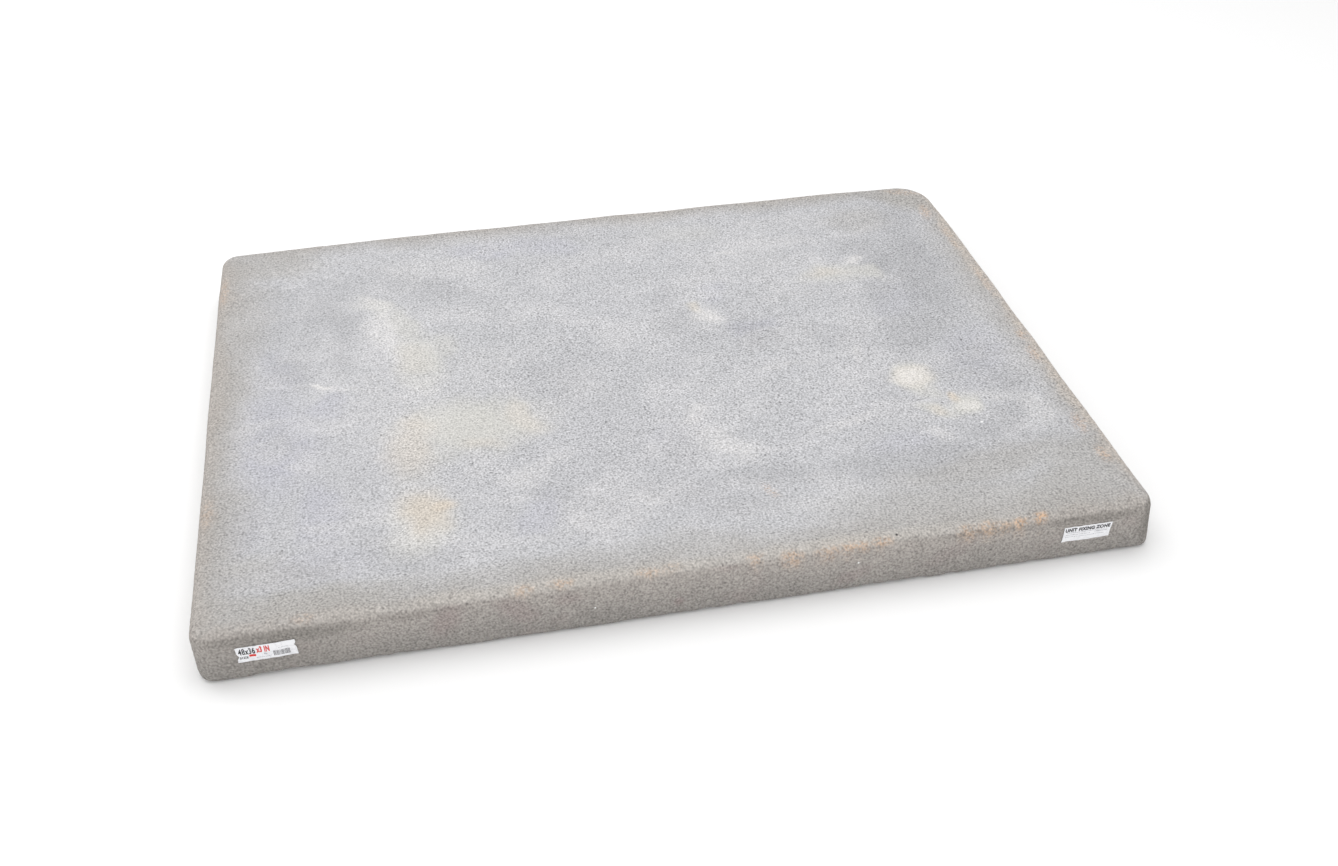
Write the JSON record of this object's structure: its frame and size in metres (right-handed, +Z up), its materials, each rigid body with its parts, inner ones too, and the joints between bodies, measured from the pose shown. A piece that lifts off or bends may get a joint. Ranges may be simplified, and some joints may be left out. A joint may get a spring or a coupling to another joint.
{
  "type": "lightweight concrete equipment pad",
  "caption": "Rectangular precast concrete pad with rounded edges and corners, a foam core, wire mesh and steel anchor strips inside, and paper labels on one edge.",
  "frame": {"origin": "middle of the underside, at ground level", "axes": "+X along the length towards the end with the anchor strip label, +Y from the labelled face to the back, +Z up out of the top face"},
  "size_m": [1.2192, 0.9144, 0.0762],
  "materials": {
    "cast_concrete": "matte",
    "base_concrete": "matte",
    "polystyrene_foam": "matte",
    "galvanised_steel": "satin",
    "mesh_wire": "satin",
    "label_paper": "matte"
  },
  "bodies": {
    "root": {"concrete_shell": "cast_concrete", "concrete_base": "base_concrete", "foam_core": "polystyrene_foam", "anchor_strip_left": "galvanised_steel", "anchor_strip_right": "galvanised_steel", "top_mesh": "mesh_wire", "bottom_mesh": "mesh_wire", "product_label": "label_paper", "anchor_strip_label": "label_paper"}
  },
  "joints": []
}
